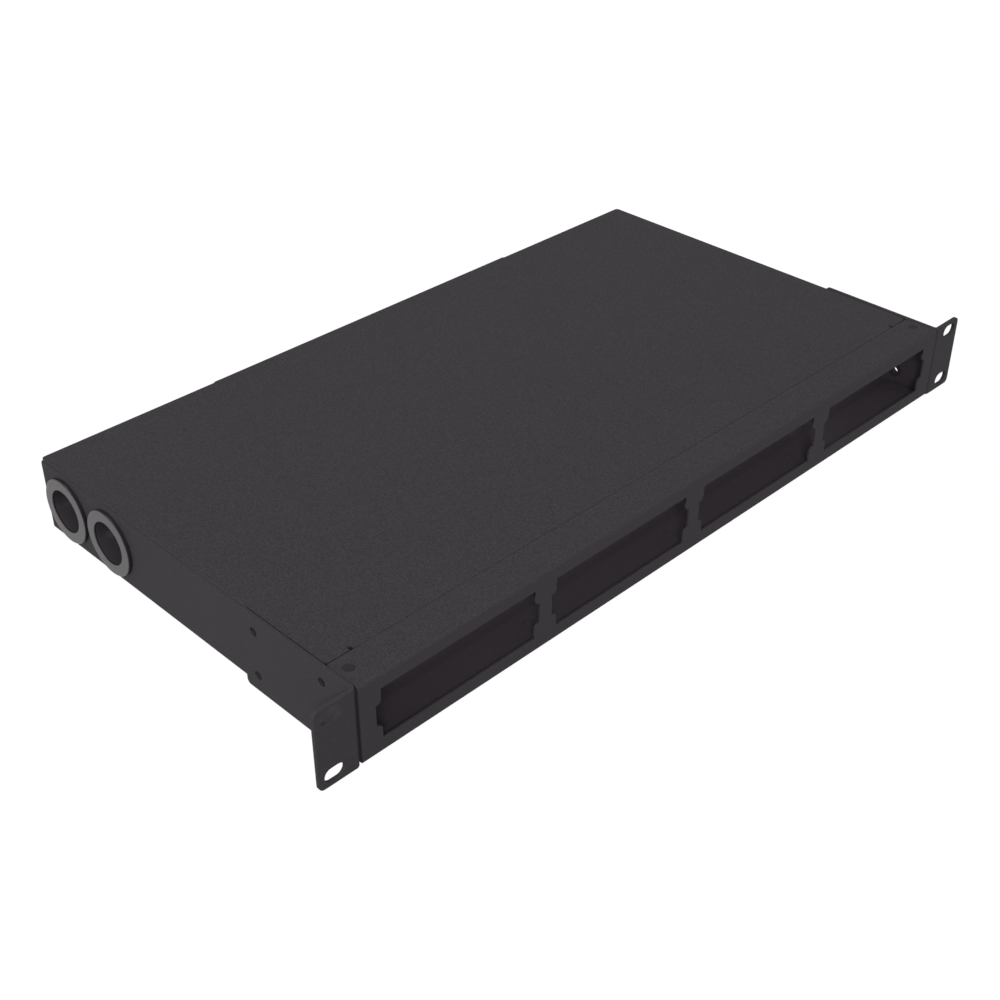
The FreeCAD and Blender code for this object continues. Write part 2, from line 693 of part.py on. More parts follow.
def slack_spool(name, x):
    """Open drum for spare fibre: a floor disc, a ring wall, four tabs and a screw boss."""
    body = new_body(f"slack_spool_{name}")
    ring, boss = "spool_width / 2", "spool_boss / 2"
    turn(body, ("0", "0"), ("0", ring), ("spool_height", ring),
         ("spool_height", f"{ring} - spool_wall"), ("spool_wall", f"{ring} - spool_wall"),
         ("spool_wall", boss), ("spool_boss_height", boss), ("spool_boss_height", "0"))
    tab = pad(body, "XY", "spool_height - spool_wall", "spool_height", rectangle(
        f"{ring} - spool_wall / 2", f"{ring} + spool_tab_reach",
        "-spool_tab_width / 2", "spool_tab_width / 2"))
    repeat(body, tab, SPOOL_ARMS)
    diagonal = "spool_window_ring * sqrt(0.5)"
    window = pocket(body, "XY", *through("0", "spool_wall"),
                    disc(diagonal, diagonal, "spool_window"))
    repeat(body, window, SPOOL_ARMS)
    pocket(body, "XY", f"-{PAST}", "standoff_height + slide_gap",
           disc("0", "0", "standoff_width + 2 * slide_gap"))
    pocket(body, "XY", *through("0", "spool_boss_height"),
           disc("0", "0", "spool_screw + 2 * slide_gap"))
    place(body, x, spool_y, floor_seat)


def spool_standoffs():
    """Threaded standoffs pressed into the floor, one under each spool."""
    body = new_body("spool_standoffs")
    spots = [(x, spool_y) for x in spools.values()]
    top = f"({floor_seat} + standoff_height)"
    pad(body, "XY", floor_under, floor_top, *[disc(x, y, "standoff_foot") for x, y in spots])
    pad(body, "XY", floor_top, top, *[disc(x, y, "standoff_width") for x, y in spots])
    pocket(body, "XY", f"{top} - standoff_thread_depth", f"{top} + {PAST}",
           *[disc(x, y, "spool_screw + 2 * thread_clearance") for x, y in spots])


def spool_screws():
    body = new_body("spool_screws")
    spots = [(x, spool_y) for x in spools.values()]
    seat = f"({floor_seat} + spool_boss_height)"
    top = f"({seat} + spool_screw_head_height)"
    pad(body, "XY", f"{floor_seat} + standoff_height - spool_screw_grip", seat,
        *[disc(x, y, "spool_screw") for x, y in spots])
    pad(body, "XY", seat, top, *[disc(x, y, "spool_screw_head") for x, y in spots])
    round_edges(body, "spool_screw_head_height / 2", circular("spool_screw_head", "Z", top))
    cross_drive(body, "XY", f"{top} - drive_depth", top, spots, "spool_screw")


def tie_bridge(name, y):
    """Bent strap on the floor that a cable tie passes under, in line with a cable entry."""
    body = new_body(f"tie_bridge_{name}")
    foot, top = "bridge_length / 2", "bridge_top / 2"
    under = f"({top} - sheet)"
    right = [(under, "bridge_rise - sheet"), (under, "0"), (foot, "0"), (foot, "sheet"),
             (top, "sheet"), (top, "bridge_rise")]
    left = [(f"-{x}", z) for x, z in reversed(right)]
    pad(body, "XZ", "-bridge_width / 2", "bridge_width / 2", outline(*right, *left))
    round_edges(body, "sheet + inner_bend", straight(
        "Y", *[(f"{side} * {top}", "bridge_rise") for side in (-1, 1)]))
    pocket(body, "XY", *through("0", "sheet"),
           *[disc(f"{side} * (bridge_length + bridge_top) / 4", "0",
                  "rivet_shank + 2 * press_fit") for side in (-1, 1)])
    place(body, bridge_x, y, floor_seat)


def tie_bridge_rivets():
    body = new_body("tie_bridge_rivets")
    rivets(body, "XY", [(x, y) for x in bridge_feet for y in entries.values()],
           floor_under, floor_top, f"({floor_seat} + sheet)", -1)


def earth_stud():
    """Threaded stud pressed into the floor near the cable entries."""
    body = new_body("earth_stud")
    pad(body, "XY", floor_under, floor_top, disc(earth_x, earth_y, "earth_foot"))
    pad(body, "XY", floor_top, f"{floor_top} + earth_height",
        disc(earth_x, earth_y, "earth_stud"))


def earth_washer():
    body = new_body("earth_washer")
    pad(body, "XY", floor_seat, f"{floor_seat} + earth_washer_height",
        disc(earth_x, earth_y, "earth_washer"),
        disc(earth_x, earth_y, "earth_stud + 2 * slide_gap"))


def earth_nut():
    body = new_body("earth_nut")
    seat = f"{floor_seat} + earth_washer_height + seat_gap"
    flat, point = "earth_nut_flats / 2", "earth_nut_flats / sqrt(3)"
    x, y = earth_x, earth_y
    corners = [(f"{x} + {flat}", f"{y} - {point} / 2"), (f"{x} + {flat}", f"{y} + {point} / 2"),
               (x, f"{y} + {point}"), (f"{x} - {flat}", f"{y} + {point} / 2"),
               (f"{x} - {flat}", f"{y} - {point} / 2"), (x, f"{y} - {point}")]
    pad(body, "XY", seat, f"{seat} + earth_nut_height", outline(*corners),
        disc(x, y, "earth_stud + 2 * thread_clearance"))


front_frame()
base_tray()
rear_panel()
top_cover()
for bracket_name, bracket_side in (("left", -1), ("right", 1)):
    rack_bracket(bracket_name, bracket_side)
    bracket_nuts(bracket_name, bracket_side)
front_frame_rivets()
rear_panel_rivets()
cover_screws()
cover_nuts()
for entry_name, entry_y in entries.items():
    cable_bushing(entry_name, entry_y)
    bushing_nut(entry_name, entry_y)
    tie_bridge(entry_name, entry_y)
tie_bridge_rivets()
for spool_name, spool_place in spools.items():
    slack_spool(spool_name, spool_place)
spool_standoffs()
spool_screws()
earth_stud()
earth_washer()
earth_nut()

doc.recompute()
for item in doc.Objects:
    if "Invalid" in item.State or "Error" in item.State:
        raise ValueError(f"{item.Label} failed: {item.State}")
for part in parts:
    if part.Shape.isNull() or not part.Shape.isValid():
        raise ValueError(f"{part.Label} has no valid shape")

os.makedirs("parts", exist_ok=True)
for part in parts:
    part.Shape.exportStep(f"parts/{part.Label}.step")
    print(f"{part.Label}: {len(part.Shape.Solids)} solids, {part.Shape.Volume:.0f} mm3")
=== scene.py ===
# One-unit rack panel for fibre cassettes, dressed for its picture. Lengths are in millimetres until
# a piece is placed, and places along Y count from the front frame's face.
import math

import bmesh
import bpy
from mathutils import Matrix, Vector
from mathutils.geometry import tessellate_polygon


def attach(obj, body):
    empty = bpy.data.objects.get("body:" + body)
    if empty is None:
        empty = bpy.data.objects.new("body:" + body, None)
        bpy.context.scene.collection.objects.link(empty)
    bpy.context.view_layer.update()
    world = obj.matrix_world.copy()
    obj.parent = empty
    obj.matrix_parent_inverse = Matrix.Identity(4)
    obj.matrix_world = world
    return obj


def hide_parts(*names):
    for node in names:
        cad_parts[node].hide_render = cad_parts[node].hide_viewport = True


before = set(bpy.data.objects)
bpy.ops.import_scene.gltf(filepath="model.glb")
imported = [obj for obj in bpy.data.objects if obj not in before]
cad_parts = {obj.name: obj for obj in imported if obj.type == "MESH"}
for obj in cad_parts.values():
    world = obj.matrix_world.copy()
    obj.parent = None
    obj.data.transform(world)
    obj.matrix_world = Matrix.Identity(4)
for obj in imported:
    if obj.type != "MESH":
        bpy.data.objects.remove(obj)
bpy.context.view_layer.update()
scene = bpy.context.scene
mm = 0.001
faceY = -2.2  # the frame's face, from the ears' rear faces, where the model's zero is
sameLine = 1e-5  # a cut this near to a point runs through it
samePoint = 0.002  # points nearer than this become one
allAcross = 999  # reach of a fold that runs across the whole plate

# places that several pieces share
places = {
    "topRivets": [(-212.0, 12.5), (212.0, 12.5)],
    "floorRivets": [(x, 14.5) for x in (-205.0, -102.5, 0.0, 102.5, 205.0)],
    "rearRivets": [(x, -15.0) for x in (-176.0, -88.0, 0.0, 88.0, 176.0)],
    "coverScrews": [(x, 13.45) for x in (-90.0, 0.0, 90.0)],
    "bracketHoles": [(y, z) for y in (21.5, 68.3) for z in (-12.5, 12.5)],
    "entries": [(186.0, -0.5), (224.3, -0.5)],
    "bridgeRivets": [(x, y) for x in (-194.5, -169.5) for y in (186.0, 224.3)],
    "standoffs": [(-80.0, 172.0), (80.0, 172.0)],
    "earthStud": (-140.0, 222.0),
}


# loops: closed runs of flat points, the outer one first and then the holes

def circleLoop(x, y, diameter, steps=40):
    turns = [k * math.tau / steps for k in range(steps)]
    return [Vector((x + math.cos(a) * diameter / 2, y + math.sin(a) * diameter / 2)) for a in turns]


def slotLoop(x, y, length, height, steps=14):
    loop = []
    for side in (1, -1):
        middle = x + side * (length - height) / 2
        start = -side * math.pi / 2
        for k in range(steps + 1):
            a = start + k * math.pi / steps
            loop.append(Vector((middle + math.cos(a) * height / 2, y + math.sin(a) * height / 2)))
    return loop


def cornerLoop(corners, steps=6):
    # each corner is (x, y) or (x, y, radius)
    points = [Vector(c[:2]) for c in corners]
    loop = []
    for k, corner in enumerate(corners):
        here = points[k]
        if len(corner) < 3:
            loop.append(here)
            continue
        back = (points[k - 1] - here).normalized()
        ahead = (points[(k + 1) % len(points)] - here).normalized()
        half = back.angle(ahead) / 2
        middle = here + (back + ahead).normalized() * corner[2] / math.sin(half)
        first = here + back * corner[2] / math.tan(half) - middle
        last = here + ahead * corner[2] / math.tan(half) - middle
        turn = math.atan2(first.x * last.y - first.y * last.x, first.dot(last))
        for n in range(steps + 1):
            a = turn * n / steps
            x = first.x * math.cos(a) - first.y * math.sin(a)
            y = first.x * math.sin(a) + first.y * math.cos(a)
            loop.append(middle + Vector((x, y)))
    return loop


def mirrorLoop(corners):
    # completes the corners of a right half with its left half
    left = [(-c[0],) + tuple(c[1:]) for c in reversed(corners)]
    return list(corners) + left


def orientLoop(loop, anticlockwise):
    area = sum(a.cross(b) for a, b in zip(loop, loop[1:] + loop[:1]))
    return loop if (area > 0) == anticlockwise else loop[::-1]


def insetLoop(loop, amount):
    # the material lies on the loop's left
    moved = []
    for k, here in enumerate(loop):
        a = (here - loop[k - 1]).normalized()
        b = (loop[(k + 1) % len(loop)] - here).normalized()
        across = Vector((-a.y - b.y, a.x + b.x))
        moved.append(here + across * amount / (1 + a.dot(b)))
    return moved


def makePlate(loops, thickness, softEdge, steps=3):
    # a flat plate with softened edges; its outer face is at depth 0
    bm = bmesh.new()
    turns = [k * math.pi / 2 / steps for k in range(steps + 1)]
    quarter = [(softEdge * (1 - math.sin(a)), softEdge * (1 - math.cos(a))) for a in turns]
    levels = quarter + [(back, thickness - deep) for back, deep in reversed(quarter)]
    faceRings = ([], [])
    for number, loop in enumerate(loops):
        turned = orientLoop(loop, number == 0)
        rings = [[bm.verts.new((p.x, p.y, deep)) for p in insetLoop(turned, back)]
                 for back, deep in levels]
        for lower, upper in zip(rings, rings[1:]):
            for k in range(len(lower)):
                bm.faces.new((lower[k - 1], lower[k], upper[k], upper[k - 1]))
        faceRings[0].append(rings[0])
        faceRings[1].append(rings[-1])
    for rings in faceRings:
        verts = [v for ring in rings for v in ring]
        for triangle in tessellate_polygon([[v.co for v in ring] for ring in rings]):
            bm.faces.new([verts[k] for k in triangle])
    return bm


def cutPlate(bm, place, across):
    # adds a line of points where a plane crosses the plate
    bmesh.ops.bisect_plane(bm, geom=bm.verts[:] + bm.edges[:] + bm.faces[:], dist=sameLine,
                           plane_co=place, plane_no=across)


def foldPlate(bm, folds, steps=8):
    # each fold is (axis, line, radius, side, reach): the plate past the line turns up 90 degrees,
    # as far as the reach to either side of the middle
    for axis, line, radius, side, reach in folds:
        across = Vector((1, 0, 0)) if axis == 0 else Vector((0, 1, 0))
        for k in range(steps + 1):
            place = line + side * radius * math.pi / 2 * k / steps
            cutPlate(bm, across * place, across)
    for axis, line, radius, side, reach in folds:
        arc = radius * math.pi / 2
        for v in bm.verts:
            past = side * (v.co[axis] - line)
            if past <= 0 or abs(v.co[1 - axis]) > reach:
                continue
            turn = min(past, arc) / radius
            inner = radius - v.co.z
            v.co[axis] = line + side * inner * math.sin(turn)
            v.co.z = radius - inner * math.cos(turn) + max(past - arc, 0)


def turnProfile(bm, corners, matrix, steps, arcSteps=4):
    # turns a closed profile of (along, radius) corners about the Z axis, then places it
    profile = cornerLoop(corners, arcSteps)
    rings = []
    for k in range(steps):
        a = k * math.tau / steps
        rings.append([bm.verts.new(matrix @ Vector((p.y * math.cos(a), p.y * math.sin(a), p.x)))
                      for p in profile])
    for k in range(steps):
        for n in range(len(profile)):
            if profile[n].y > 0 or profile[n - 1].y > 0:  # no faces along the axis itself
                bm.faces.new((rings[k - 1][n - 1], rings[k][n - 1], rings[k][n], rings[k - 1][n]))


def addPiece(name, bm, material, body, nodes, toFrame=None):
    # toFrame takes the plate's own axes to the panel's
    if toFrame:
        for v in bm.verts:
            v.co = toFrame(v.co)
    bmesh.ops.remove_doubles(bm, verts=bm.verts, dist=samePoint)
    bmesh.ops.recalc_face_normals(bm, faces=bm.faces)
    bm.transform(Matrix.Translation((0, faceY * mm, 0)) @ Matrix.Scale(mm, 4))
    mesh = bpy.data.meshes.new(name)
    bm.to_mesh(mesh)
    bm.free()
    mesh.shade_smooth()
    mesh.materials.append(material)
    piece = bpy.data.objects.new(name, mesh)
    scene.collection.objects.link(piece)
    # large faces stay flat in the light, and soft edges take up the turn
    weighted = piece.modifiers.new("flatFaces", "WEIGHTED_NORMAL")
    weighted.weight = 80
    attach(piece, body)
    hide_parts(*nodes)
    print(f"{name}: {len(mesh.polygons)} faces")
    return piece


# materials

noiseRange = (0.3, 0.7)  # nearly all of a noise lies between these


def hexColour(code):
    # sRGB hex to the linear values that a shader takes
    parts = [int(code[k:k + 2], 16) / 255 for k in (1, 3, 5)]
    linear = [c / 12.92 if c <= 0.04045 else ((c + 0.055) / 1.055) ** 2.4 for c in parts]
    return (*linear, 1.0)


def perMetre(size):
    # noise scale for grains of a size in millimetres
    return 1 / (size * mm)


def addNode(tree, kind, inputs=None, settings=None):
    # an input is a value, or a socket to link
    node = tree.nodes.new(kind)
    for key, value in (settings or {}).items():
        setattr(node, key, value)
    for key, value in (inputs or {}).items():
        if isinstance(value, bpy.types.NodeSocket):
            tree.links.new(value, node.inputs[key])
        else:
            node.inputs[key].default_value = value
    return node


def addRamp(tree, factor, codes):
    # two colours over the noise's range
    ramp = addNode(tree, "ShaderNodeValToRGB", {"Fac": factor})
    for stop, place, code in zip(ramp.color_ramp.elements, noiseRange, codes):
        stop.position = place
        stop.color = hexColour(code)
    return ramp.outputs["Color"]


def newMaterial(name):
    material = bpy.data.materials.new(name)
    material.use_nodes = True
    material.node_tree.nodes.clear()
    return material, material.node_tree


def grainedSurface(name, look):
    # a fine grain gives colour and bump, and a slower drift the gloss; "upper" is a second pair of
    # colours for faces that look up, painted shading that makes their speckle stronger; sizes and
    # the bump's depth are in millimetres
    material, tree = newMaterial(name)
    where = addNode(tree, "ShaderNodeTexCoord").outputs["Object"]
    grain = addNode(tree, "ShaderNodeTexNoise",
                    {"Vector": where, "Scale": perMetre(look["grain"]), "Detail": 3.0,
                     "Roughness": 0.62}).outputs["Fac"]
    drift = addNode(tree, "ShaderNodeTexNoise",
                    {"Vector": where, "Scale": perMetre(look["drift"]), "Detail": 2.0}).outputs["Fac"]
    colour = addRamp(tree, grain, look["colours"])
    # painted shading: a face takes more of the "upper" colours the more it looks up, as grazing light
    # on the top would shade the grain
    if "upper" in look:
        normal = addNode(tree, "ShaderNodeNewGeometry").outputs["Normal"]
        height = addNode(tree, "ShaderNodeSeparateXYZ", {"Vector": normal}).outputs["Z"]
        upper = addRamp(tree, grain, look["upper"])
        colour = addNode(tree, "ShaderNodeMixRGB", {"Fac": height, "Color1": colour, "Color2": upper},
                         {"use_clamp": True}).outputs["Color"]
    low, high = look["roughness"]
    gloss = addNode(tree, "ShaderNodeMapRange",
                    {"Value": drift, "From Min": noiseRange[0], "From Max": noiseRange[1],
                     "To Min": low, "To Max": high})
    bump = addNode(tree, "ShaderNodeBump",
                   {"Height": grain, "Strength": look["bump"], "Distance": look["depth"] * mm})
    shader = addNode(tree, "ShaderNodeBsdfPrincipled",
                     {"Base Color": colour, "Roughness": gloss.outputs["Result"],
                      "Normal": bump.outputs["Normal"], "Metallic": look.get("metallic", 0.0)})
    if "specular" in look:
        shader.inputs["Specular IOR Level"].default_value = look["specular"]
    if "ior" in look:
        shader.inputs["IOR"].default_value = look["ior"]
    addNode(tree, "ShaderNodeOutputMaterial", {"Surface": shader.outputs["BSDF"]})
    return material


# Polyester powder coat on folded steel, sprayed and baked with a fine texture: a charcoal black
# that stays dull in the light, broken by a dense fine speckle. The real grain is about 0.2 mm,
# which the picture can't show, so it is drawn at 0.75 mm. On the faces that look up the speckle is
# painted stronger: painted shading of the grain, as light grazing the top would show it.
powderCoat = grainedSurface("fineTexturePowderCoat", {
    "colours": ("#333033", "#39373a"), "upper": ("#2c292c", "#3d3b3e"), "grain": 0.75, "drift": 90.0,
    "roughness": (0.66, 0.7), "bump": 0.3, "depth": 0.04, "ior": 1.5, "specular": 0.05,
})
# The same coat over rivets and press nuts, where it flows out smoother: the discs look a little
# darker than the sheet around them.
rivetCoat = grainedSurface("smoothPowderCoat", {
    "colours": ("#242226", "#2b292c"), "grain": 1.4, "drift": 90.0,
    "roughness": (0.56, 0.6), "bump": 0.1, "depth": 0.02, "ior": 1.5, "specular": 0.05,
})
# The same coat inside the tray, even and with hardly any speckle. Its dull purplish black is a
# darker copy of the outside colours: painted shade for the bays that lie under the cover.
insideShadeCoat = grainedSurface("shadeTintedPowderCoat", {
    "colours": ("#322d32", "#373237"), "grain": 0.75, "drift": 90.0,
    "roughness": (0.66, 0.7), "bump": 0.08, "depth": 0.02, "ior": 1.5, "specular": 0.05,
})
# Polyamide 6, injection moulded against a polished tool: near black in itself, it mirrors the
# white studio on its flat flange and stays dark where it faces the panel.
bushingPlastic = grainedSurface("mouldedPolyamide", {
    "colours": ("#231e23", "#292429"), "grain": 0.8, "drift": 25.0,
    "roughness": (0.16, 0.2), "bump": 0.04, "depth": 0.01, "ior": 1.53, "specular": 0.33,
})
# The same polyamide off a sparked core: the bore behind the flange is dull, with a soft light streak.
boreSkin = grainedSurface("sparkTexturedPolyamide", {
    "colours": ("#2e292e", "#343034"), "grain": 0.8, "drift": 25.0,
    "roughness": (0.4, 0.46), "bump": 0.1, "depth": 0.01, "ior": 1.53, "specular": 0.6,
})
# ABS, injection moulded against a sparked tool: an even matt charcoal with a fine pitted skin.
spoolPlastic = grainedSurface("sparkTexturedAbs", {
    "colours": ("#2e2d2f", "#363537"), "grain": 0.8, "drift": 40.0,
    "roughness": (0.5, 0.6), "bump": 0.3, "depth": 0.04, "ior": 1.53,
})
# Steel, zinc plated with a clear passivate: a cool pale metal with faint cloudy patches.
zincPlate = grainedSurface("zincPlatedSteel", {
    "colours": ("#b9bab8", "#cfd0cd"), "grain": 1.2, "drift": 6.0,
    "roughness": (0.26, 0.4), "bump": 0.1, "depth": 0.02, "metallic": 1.0,
})
# Steel, zinc plated with a black passivate: a near-black metal with soft glints on the screw heads.
blackZinc = grainedSurface("blackZincSteel", {
    "colours": ("#39383a", "#454446"), "grain": 0.8, "drift": 6.0,
    "roughness": (0.36, 0.46), "bump": 0.1, "depth": 0.02, "metallic": 1.0,
})
print("materials ready")


def coatInsideWithShadeTint(piece, half, low, high):
    # faces within these millimetres, to either side and in height, take the inside's coat, a darker
    # purplish copy that is painted shade
    piece.data.materials.append(insideShadeCoat)
    for face in piece.data.polygons:
        if abs(face.center.x) < half * mm and low * mm < face.center.z < high * mm:
            face.material_index = 1


# CAD nodes that stay as they are, with their finishes
keptNodes = {
    "slack_spool_left": spoolPlastic, "slack_spool_right": spoolPlastic,
    "spool_screws": zincPlate, "spool_standoffs": zincPlate, "cover_nuts": zincPlate,
    "cover_screws": blackZinc, "bracket_nuts_left": rivetCoat, "bracket_nuts_right": rivetCoat,
    "tie_bridge_front": powderCoat, "tie_bridge_rear": powderCoat, "tie_bridge_rivets": rivetCoat,
    "earth_stud": zincPlate, "earth_nut": zincPlate, "earth_washer": zincPlate,
}
for node, material in keptNodes.items():
    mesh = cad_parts[node].data
    if not mesh.materials:
        mesh.materials.append(None)
    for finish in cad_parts[node].material_slots:
        finish.material = material
print("kept nodes painted")


tray = {
    "sheet": 1.2, "bend": 1.4, "softEdge": 0.15, "clear": 0.3,
    "half": 217.9, "under": -21.2, "top": 19.85, "front": 2.2, "rear": 243.4, "wallRear": 244.65,
    "flange": 13.5, "flangeRound": 0.8, "relief": 1.0, "cornerRelief": 1.9, "reliefBehind": 0.5,
    "lipEnd": 213.0, "lipFront": 1.7, "lipRise": 1.0, "slit": 0.8,
    "floorFront": 20.9, "step": 8.0, "stepRows": 6,
    "rearLipEnd": 200.0, "rearLip": 11.0, "rearLipRound": 1.0,
    "entryHole": 28.4, "nutHole": 7.24, "shankHole": 3.24, "bridgeHole": 5.44, "earthHole": 5.24,
}


def buildTray(t):
    def onWall(z):
        return wallStart + z - t["under"] - t["bend"]

    arc = t["bend"] * math.pi / 2
    wallFold = t["half"] - t["bend"]
    wallStart = wallFold + arc
    flangeFold = wallStart + t["top"] - t["under"] - 2 * t["bend"]
    flangeStart = flangeFold + arc
    flangeEnd = flangeStart + t["flange"] - t["bend"]
    rearFold = t["rear"] - t["bend"]
    rearLipEnd = rearFold + arc + t["rearLip"] - t["bend"]
    slitEnd = t["floorFront"] + t["step"] + t["clear"]
    slitOut = t["lipEnd"] + t["slit"]
    # the wall ends on its bend, level with the lip's underside
    wallEdge = wallFold + t["bend"] * math.acos(1 - t["lipRise"] / t["bend"])
    right = [
        (t["lipEnd"], t["lipFront"]), (t["lipEnd"], slitEnd), (slitOut, slitEnd),
        (slitOut, t["floorFront"]), (wallEdge, t["floorFront"]), (wallEdge, t["front"]),
        (flangeEnd, t["front"], t["flangeRound"]), (flangeEnd, t["rear"], t["flangeRound"]),
        (flangeStart, t["rear"]), (flangeStart, t["wallRear"]),
        (wallFold, t["wallRear"]), (wallFold, t["rear"]),
        (t["rearLipEnd"] + t["relief"], t["rear"]),
        (t["rearLipEnd"] + t["relief"], rearFold - t["relief"]),
        (t["rearLipEnd"], rearFold - t["relief"]), (t["rearLipEnd"], rearLipEnd, t["rearLipRound"]),
    ]
    loops = [cornerLoop(mirrorLoop(right))]
    loops += [circleLoop(-onWall(z), y, t["entryHole"], steps=64) for y, z in places["entries"]]
    loops += [circleLoop(side * onWall(z), y, t["nutHole"], steps=32)
              for side in (-1, 1) for y, z in places["bracketHoles"]]
    loops += [circleLoop(math.copysign(flangeStart + wallFold - abs(x), x), y, t["shankHole"], steps=20)
              for x, y in places["topRivets"]]
    loops += [circleLoop(x, y, t["shankHole"], steps=20) for x, y in places["floorRivets"]]
    loops += [circleLoop(x, rearFold + arc + z - t["under"] - t["bend"], t["shankHole"], steps=20)
              for x, z in places["rearRivets"]]
    loops += [circleLoop(x, y, t["bridgeHole"], steps=24)
              for x, y in places["bridgeRivets"] + places["standoffs"]]
    loops.append(circleLoop(*places["earthStud"], t["earthHole"], steps=24))
    # a round relief in each bend lies under the cover's front corner
    reliefX = flangeStart - t["clear"]
    reliefY = t["floorFront"] + t["reliefBehind"]
    loops += [circleLoop(side * reliefX, reliefY, t["cornerRelief"], steps=20) for side in (-1, 1)]
    bm = makePlate(loops, t["sheet"], t["softEdge"])
    for k in range(t["stepRows"] + 1):  # the floor steps up over the frame's lower flange
        cutPlate(bm, (0, t["floorFront"] + t["step"] * k / t["stepRows"], 0), (0, 1, 0))
    for v in bm.verts:
        if abs(v.co.x) < t["lipEnd"] + t["slit"] / 2:
            up = min(max((t["floorFront"] + t["step"] - v.co.y) / t["step"], 0), 1)
            v.co.z += t["lipRise"] * up * up * (3 - 2 * up)
    folds = [(0, side * flangeFold, t["bend"], side, allAcross) for side in (-1, 1)]
    folds += [(0, side * wallFold, t["bend"], side, allAcross) for side in (-1, 1)]
    folds.append((1, rearFold, t["bend"], 1, t["rearLipEnd"] + t["clear"]))
    foldPlate(bm, folds)
    piece = addPiece("trayShell", bm, powderCoat, "panel", ["base_tray"],
                     lambda p: Vector((p.x, p.y, t["under"] + p.z)))
    inner = t["sheet"] - 0.05  # just short of the sheet's inner face
    # the tray's inside faces take the painted shade coat
    coatInsideWithShadeTint(piece, t["half"] - inner, t["under"] + inner, t["top"] - inner)


buildTray(tray)


frontFrame = {
    "sheet": 1.2, "bend": 1.8, "softEdge": 0.18,
    "half": 217.75, "halfHeight": 21.45, "depth": 20.4, "flangeRound": 1.0, "rivetHole": 5.44,
    "span": 98.5, "pitch": 106.5, "openHalf": 13.75, "notch": 3.15, "notchHalf": 5.7, "tabRound": 2.8,
}


def buildFrontFrame(f):
    def onFlange(y):
        return fold + arc + y - f["bend"]

    arc = f["bend"] * math.pi / 2
    fold = f["halfHeight"] - f["bend"]
    end = fold + arc + f["depth"] - f["bend"]
    outline = [(f["half"], -end, f["flangeRound"]), (f["half"], end, f["flangeRound"])]
    loops = [cornerLoop(mirrorLoop(outline))]
    wide = f["span"] / 2
    main = wide - f["notch"]
    tab = f["tabRound"]
    right = [(main, -f["openHalf"]), (main, -f["notchHalf"], tab), (wide, -f["notchHalf"]),
             (wide, f["notchHalf"]), (main, f["notchHalf"], tab), (main, f["openHalf"])]
    for k in (-1.5, -0.5, 0.5, 1.5):  # four openings, evenly about the middle
        loops.append([p + Vector((k * f["pitch"], 0)) for p in cornerLoop(mirrorLoop(right))])
    loops += [circleLoop(x, onFlange(y), f["rivetHole"]) for x, y in places["topRivets"]]
    loops += [circleLoop(x, -onFlange(y), f["rivetHole"]) for x, y in places["floorRivets"]]
    bm = makePlate(loops, f["sheet"], f["softEdge"])
    foldPlate(bm, [(1, side * fold, f["bend"], side, allAcross) for side in (-1, 1)])
    addPiece("frontFrame", bm, powderCoat, "panel", ["front_frame"],
             lambda p: Vector((p.x, p.z, p.y)))


buildFrontFrame(frontFrame)


cover = {
    "sheet": 1.2, "bend": 1.5, "softEdge": 0.18, "top": 21.45,
    "side": 217.5, "corner": 20.95, "frontRound": 2.6, "rear": 244.65, "rearRound": 2.0,
    "edge": 20.55, "slitEnd": 22.9, "slitOut": 204.4, "slitIn": 202.3,
    "skirt": 110.5, "skirtRear": 246.3, "skirtHeight": 14.0, "skirtRound": 1.5, "screwHole": 3.4,
    # the tab's section, as (y, z): it steps down under the frame's flange
    "tab": [(10.0, 18.95), (22.0, 18.95), (22.1, 20.3), (20.8, 20.3), (20.7, 20.15), (10.0, 20.15)],
}


def buildCover(c):
    arc = c["bend"] * math.pi / 2
    fold = c["skirtRear"] - c["bend"]
    skirtEnd = fold + arc + c["skirtHeight"] - c["bend"]
    right = [
        (c["slitIn"], c["edge"]), (c["slitIn"], c["slitEnd"]), (c["slitOut"], c["slitEnd"]),
        (c["slitOut"], c["corner"]), (c["side"], c["corner"], c["frontRound"]),
        (c["side"], c["rear"], c["rearRound"]), (c["skirt"], c["rear"]),
        (c["skirt"], skirtEnd, c["skirtRound"]),
    ]
    loops = [cornerLoop(mirrorLoop(right))]
    loops += [circleLoop(x, fold + arc + c["top"] - c["bend"] - z, c["screwHole"], steps=24)
              for x, z in places["coverScrews"]]
    bm = makePlate(loops, c["sheet"], c["softEdge"])
    foldPlate(bm, [(1, fold, c["bend"], 1, allAcross)])
    for v in bm.verts:
        v.co.z = c["top"] - v.co.z
    tab = makePlate([cornerLoop(c["tab"])], 2 * c["slitIn"], c["softEdge"])
    for v in tab.verts:
        v.co = Vector((v.co.z - c["slitIn"], v.co.x, v.co.y))
    loose = bpy.data.meshes.new("coverTab")
    tab.to_mesh(loose)
    tab.free()
    bm.from_mesh(loose)
    bpy.data.meshes.remove(loose)
    addPiece("coverSheet", bm, powderCoat, "cover", ["top_cover"])


buildCover(cover)


rearPanel = {
    "sheet": 1.2, "bend": 1.5, "softEdge": 0.15, "clear": 0.3,
    "half": 216.2, "under": -21.2, "top": 20.15, "topRound": 0.6, "rear": 244.65,
    "flange": 11.5, "flangeHalf": 203.5, "flangeRound": 1.0, "relief": 1.0,
    "rivetHole": 5.44, "nutHole": 4.74,
}


